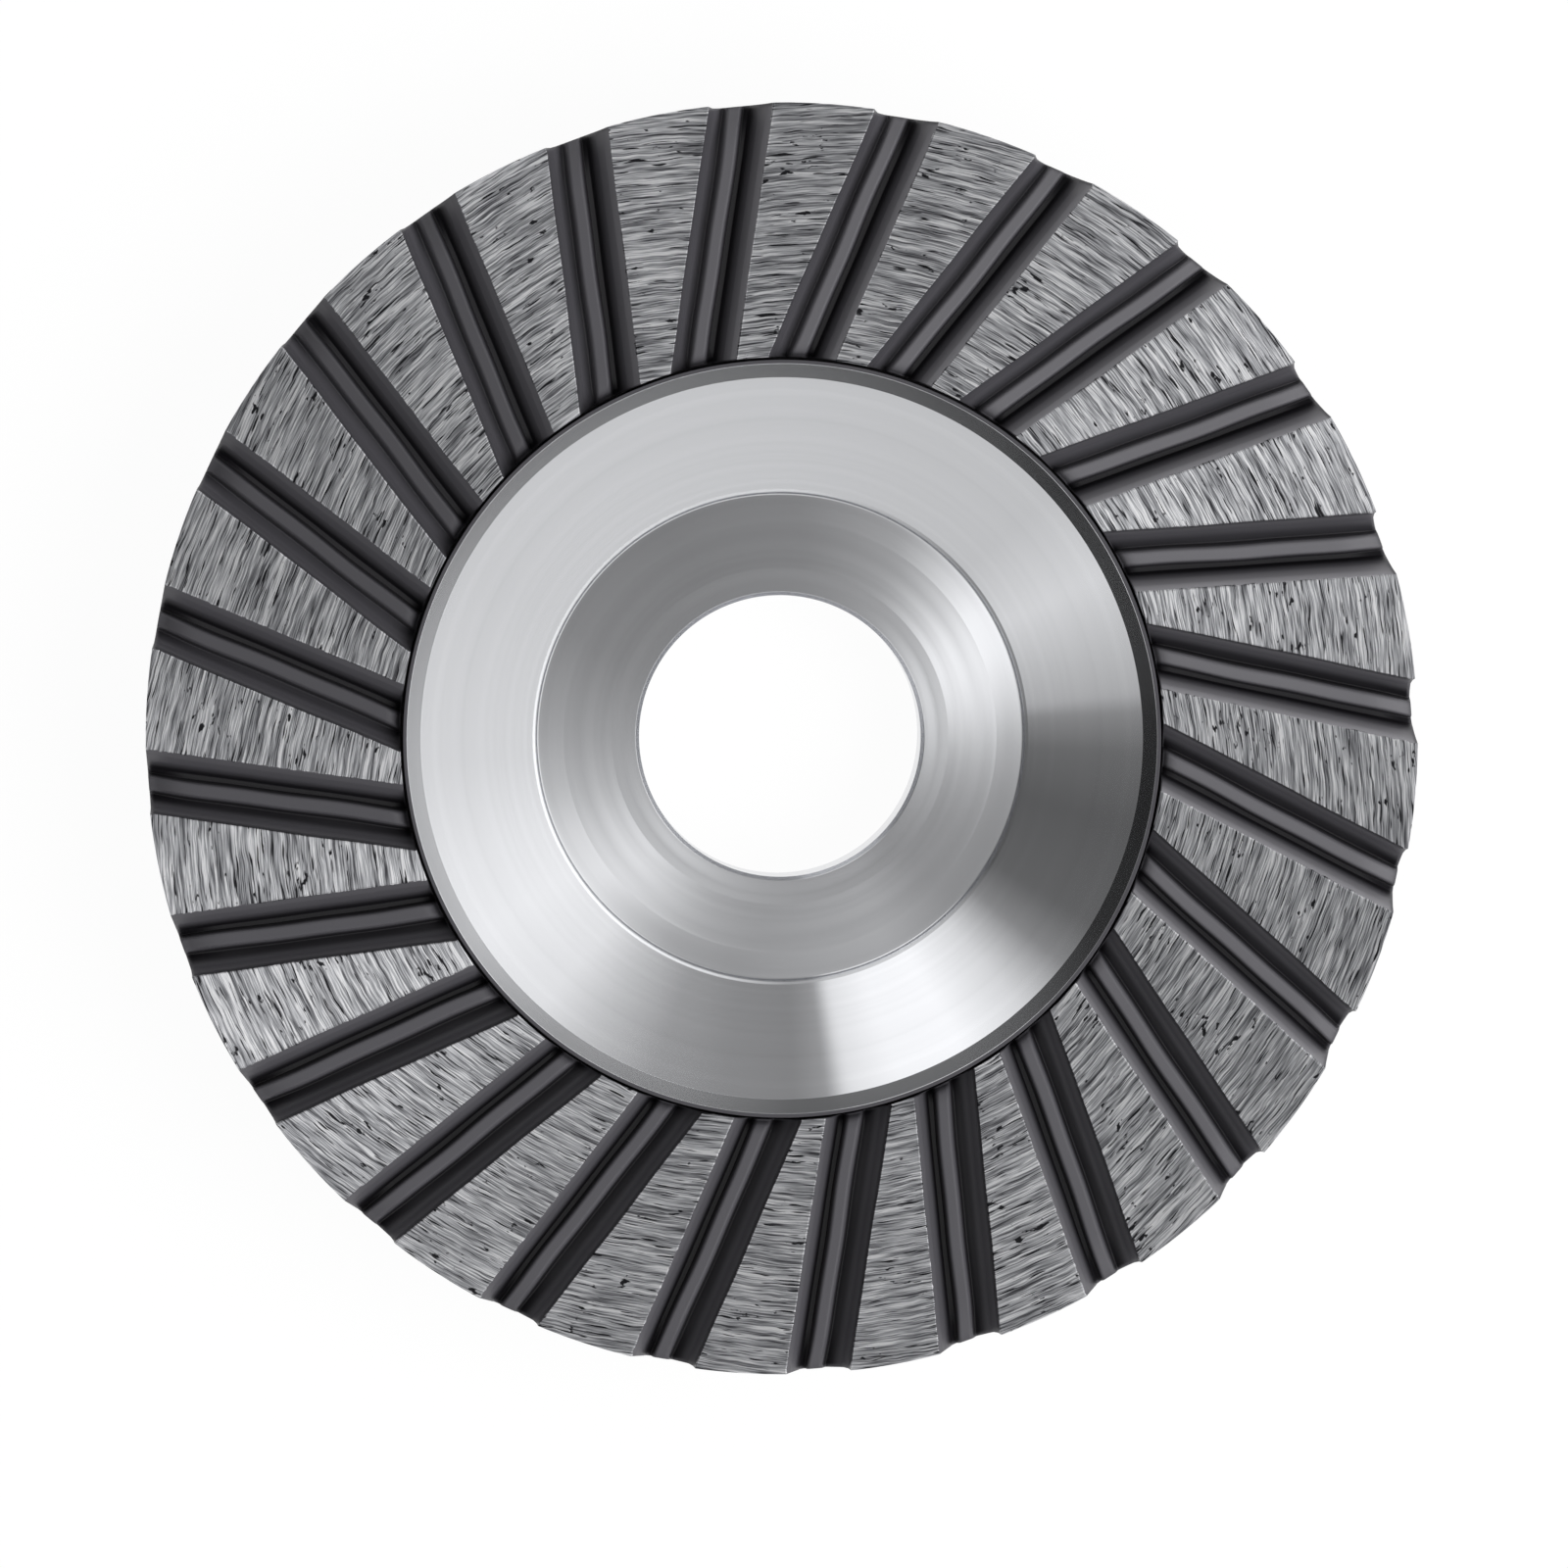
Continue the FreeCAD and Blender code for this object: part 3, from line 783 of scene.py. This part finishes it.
middle_band, zenith_band, low_band = map(sky_band, (ROOM_MIDDLE, ROOM_ZENITH, ROOM_LOW))
upper = blend(tree, zone(38, 28), middle_band, zenith_band)
whole = blend(tree, zone(63, 71), upper, low_band)
in_belt = compute(tree, "MULTIPLY", zone(61, 63), zone(70, 68))
belted = blend(tree, in_belt, whole, sky_band(ROOM_BELT))
room_light = add_node(tree, "ShaderNodeBackground", {"Color": belted, "Strength": 1.0})

# %% [markdown]
# Behind the wheel the camera sees plain white, through glass as well, and so does metal that
# looks below the horizon, as if the white table went on there.

# %% The room: white behind the wheel
plain_white = add_node(tree, "ShaderNodeBackground", {"Color": (1, 1, 1, 1), "Strength": 1.0})
rays = add_node(tree, "ShaderNodeLightPath")
below = compute(tree, "LESS_THAN", way.outputs["Z"], 0.0)
metal_below = compute(tree, "MULTIPLY", rays.outputs["Is Glossy Ray"], below)
camera_or_glass = compute(tree, "MAXIMUM", rays.outputs["Is Camera Ray"],
                          rays.outputs["Is Transmission Ray"])
seen_white = compute(tree, "MAXIMUM", camera_or_glass, metal_below)
sky = add_node(tree, "ShaderNodeMixShader", {"Fac": seen_white,
                                             1: room_light.outputs["Background"],
                                             2: plain_white.outputs["Background"]})
world_output = add_node(tree, "ShaderNodeOutputWorld", {"Surface": sky.outputs["Shader"]})

# %% [markdown]
# One soft lamp stands at the right. It models the grooves: it reaches the channels of the
# upper ones and the ramps of the lower ones, and hardly enters the slot beside each rib.

# %% The lamp
def area_lamp(name, compass_degrees, lean_degrees, distance, size, watts):
    """A square soft lamp that looks at the wheel from that compass point and lean."""
    lamp = bpy.data.lights.new(name, "AREA")
    lamp.size = size
    lamp.energy = watts
    holder = bpy.data.objects.new(name, lamp)
    scene.collection.objects.link(holder)
    bearing, lean = math.radians(compass_degrees), math.radians(lean_degrees)
    away = Vector((math.sin(bearing) * math.sin(lean), math.cos(bearing) * math.sin(lean),
                   math.cos(lean)))
    holder.location = away * distance
    holder.rotation_mode = "QUATERNION"
    holder.rotation_quaternion = away.to_track_quat("Z", "Y")
    holder.visible_glossy = False
    return holder


key = area_lamp("soft_lamp", 110, 38, 0.8, 0.55, 6.8)
print("lamp at", tuple(round(c, 3) for c in key.location))

# %% [markdown]
# The photo shows the wheel nearly square on, its outline a little over one percent narrower
# than tall. Here a long lens draws it round: the camera looks down on the lying wheel from a
# metre and a half, a hair from above and from the left.

# %% The camera
DISTANCE = 1.5
FRAME_WIDTH = 0.1232
camera_data = bpy.data.cameras.new("camera")
camera_data.sensor_width = 36.0
camera_data.lens = 36.0 * DISTANCE / FRAME_WIDTH
camera_data.clip_start = 0.1
camera_data.clip_end = 20.0
camera = bpy.data.objects.new("camera", camera_data)
scene.collection.objects.link(camera)
scene.camera = camera
target = Vector((0.13, -3.53, HEIGHT)) * MM
from_left, from_above = math.radians(1.5), math.radians(2.0)
away = Vector((-math.sin(from_left), math.sin(from_above), 1)).normalized()
camera.location = target + away * DISTANCE
right = Vector((0, 1, 0)).cross(away).normalized()
camera.rotation_mode = "QUATERNION"
camera.rotation_quaternion = Matrix((right, away.cross(right), away)).transposed().to_quaternion()
print("lens %.0f mm" % camera_data.lens)
